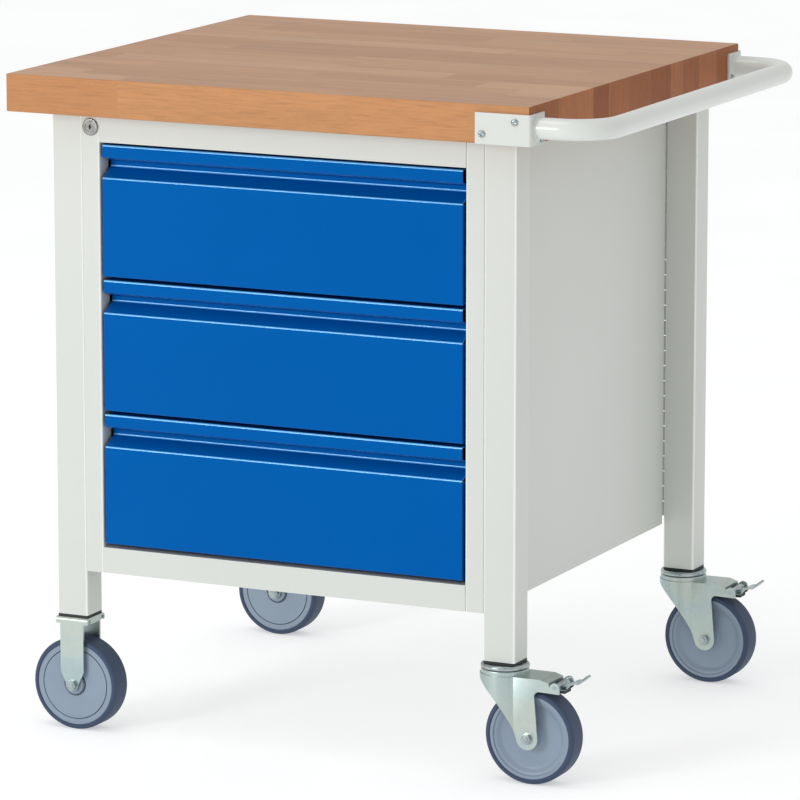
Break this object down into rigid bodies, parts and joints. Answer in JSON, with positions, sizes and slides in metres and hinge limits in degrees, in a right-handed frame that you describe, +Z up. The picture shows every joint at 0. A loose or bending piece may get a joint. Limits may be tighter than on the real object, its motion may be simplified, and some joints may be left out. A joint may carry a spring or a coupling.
{
  "type": "workbench with drawers",
  "caption": "Mobile workbench: thick beech top, steel legs and cabinet, folded drawer fronts with finger channels, lock, tubular push handle, fixed and braked swivel castors.",
  "frame": {"origin": "on the floor, under the middle of the bench's overall box, push handle included", "axes": "+Z up, +X to the right of a person facing the drawers (towards the push handle), -Y towards that person"},
  "size_m": [0.853, 0.7128, 0.89],
  "materials": {
    "beech": "oiled, glued up from staves",
    "grey_coat": "satin powder coat, light grey",
    "blue_coat": "semi-gloss powder coat, blue",
    "zinc": "bright zinc plate",
    "nickel": "nickel plate",
    "wheel_plastic": "moulded, blue-grey",
    "tyre": "moulded rubber, dark blue-grey",
    "black_plastic": "moulded"
  },
  "bodies": {
    "drawer_1": {"drawer_front_1": "blue_coat", "drawer_tray_1": "grey_coat", "runner_inner_1": "zinc"},
    "middle_runners_1": {"runner_middle_1": "zinc"},
    "drawer_2": {"drawer_front_2": "blue_coat", "drawer_tray_2": "grey_coat", "runner_inner_2": "zinc"},
    "middle_runners_2": {"runner_middle_2": "zinc"},
    "drawer_3": {"drawer_front_3": "blue_coat", "drawer_tray_3": "grey_coat", "runner_inner_3": "zinc"},
    "middle_runners_3": {"runner_middle_3": "zinc"},
    "lock_plug": {"lock_cylinder": "nickel", "lock_cam": "zinc"},
    "lock_lifter": {"lock_bar": "zinc"},
    "wheel_front_left": {"wheel_core_front_left": "wheel_plastic", "wheel_covers_front_left": "wheel_plastic", "tyre_front_left": "tyre"},
    "swivel_front_right": {"fork_front_right": "zinc", "axle_front_right": "zinc"},
    "wheel_front_right": {"wheel_core_front_right": "wheel_plastic", "tyre_front_right": "tyre"},
    "pedal_front_right": {"brake_pedal_front_right": "zinc"},
    "wheel_rear_left": {"wheel_core_rear_left": "wheel_plastic", "wheel_covers_rear_left": "wheel_plastic", "tyre_rear_left": "tyre"},
    "swivel_rear_right": {"fork_rear_right": "zinc", "axle_rear_right": "zinc"},
    "wheel_rear_right": {"wheel_core_rear_right": "wheel_plastic", "tyre_rear_right": "tyre"},
    "pedal_rear_right": {"brake_pedal_rear_right": "zinc"},
    "bench": {"axle_front_left": "zinc", "axle_rear_left": "zinc", "back_panel": "grey_coat", "bottom_rail": "grey_coat", "floor_panel": "grey_coat", "fork_front_left": "zinc", "fork_rear_left": "zinc", "handle_bracket_front": "grey_coat", "handle_bracket_rear": "grey_coat", "handle_screws": "zinc", "handle_tube": "grey_coat", "leg_front_left": "grey_coat", "leg_front_right": "grey_coat", "leg_plugs": "black_plastic", "leg_rear_left": "grey_coat", "leg_rear_right": "grey_coat", "lock_housing": "nickel", "rear_rail": "grey_coat", "runner_outer_1": "zinc", "runner_outer_2": "zinc", "runner_outer_3": "zinc", "side_panel_left": "grey_coat", "side_panel_right": "grey_coat", "stile_left": "grey_coat", "stile_right": "grey_coat", "swivel_head_front_right": "zinc", "swivel_head_rear_right": "zinc", "top_rail": "grey_coat", "worktop": "beech"}
  },
  "joints": [
    {"name": "drawer_1_slide", "type": "slide", "parent": "bench", "child": "drawer_1", "axis": [0, -1, 0], "range_m": [0, 0.48]},
    {"name": "middle_runners_1_slide", "type": "slide", "parent": "bench", "child": "middle_runners_1", "axis": [0, -1, 0], "range_m": [0, 0.24]},
    {"name": "drawer_2_slide", "type": "slide", "parent": "bench", "child": "drawer_2", "axis": [0, -1, 0], "range_m": [0, 0.48]},
    {"name": "middle_runners_2_slide", "type": "slide", "parent": "bench", "child": "middle_runners_2", "axis": [0, -1, 0], "range_m": [0, 0.24]},
    {"name": "drawer_3_slide", "type": "slide", "parent": "bench", "child": "drawer_3", "axis": [0, -1, 0], "range_m": [0, 0.48]},
    {"name": "middle_runners_3_slide", "type": "slide", "parent": "bench", "child": "middle_runners_3", "axis": [0, -1, 0], "range_m": [0, 0.24]},
    {"name": "lock_turn", "type": "hinge", "parent": "bench", "child": "lock_plug", "pos_m": [-0.32875, -0.3, 0.819], "axis": [0, 1, 0], "range_deg": [0, 90]},
    {"name": "lock_bar_lift", "type": "slide", "parent": "bench", "child": "lock_lifter", "axis": [0, 0, 1], "range_m": [0, 0.008]},
    {"name": "wheel_front_left_roll", "type": "hinge", "parent": "bench", "child": "wheel_front_left", "pos_m": [-0.364, -0.279, 0.0625], "axis": [0, 1, 0], "continuous": true},
    {"name": "swivel_front_right_turn", "type": "hinge", "parent": "bench", "child": "swivel_front_right", "pos_m": [0.261, -0.279, 0.145], "axis": [0, 0, 1], "continuous": true},
    {"name": "wheel_front_right_roll", "type": "hinge", "parent": "swivel_front_right", "child": "wheel_front_right", "pos_m": [0.3025, -0.279, 0.0625], "axis": [0, 1, 0], "continuous": true},
    {"name": "brake_front_right_press", "type": "hinge", "parent": "swivel_front_right", "child": "pedal_front_right", "pos_m": [0.341, -0.279, 0.1335], "axis": [0, 1, 0], "range_deg": [0, 15]},
    {"name": "wheel_rear_left_roll", "type": "hinge", "parent": "bench", "child": "wheel_rear_left", "pos_m": [-0.364, 0.324, 0.0625], "axis": [0, 1, 0], "continuous": true},
    {"name": "swivel_rear_right_turn", "type": "hinge", "parent": "bench", "child": "swivel_rear_right", "pos_m": [0.261, 0.324, 0.145], "axis": [0, 0, 1], "continuous": true},
    {"name": "wheel_rear_right_roll", "type": "hinge", "parent": "swivel_rear_right", "child": "wheel_rear_right", "pos_m": [0.3025, 0.324, 0.0625], "axis": [0, 1, 0], "continuous": true},
    {"name": "brake_rear_right_press", "type": "hinge", "parent": "swivel_rear_right", "child": "pedal_rear_right", "pos_m": [0.341, 0.324, 0.1335], "axis": [0, 1, 0], "range_deg": [0, 15]}
  ],
  "couplings": [
    {"joint": "middle_runners_1_slide", "follows": "drawer_1_slide", "ratio": 0.5},
    {"joint": "middle_runners_2_slide", "follows": "drawer_2_slide", "ratio": 0.5},
    {"joint": "middle_runners_3_slide", "follows": "drawer_3_slide", "ratio": 0.5},
    {"joint": "lock_turn", "follows": "lock_bar_lift", "rad_per_m": 196.3}
  ]
}
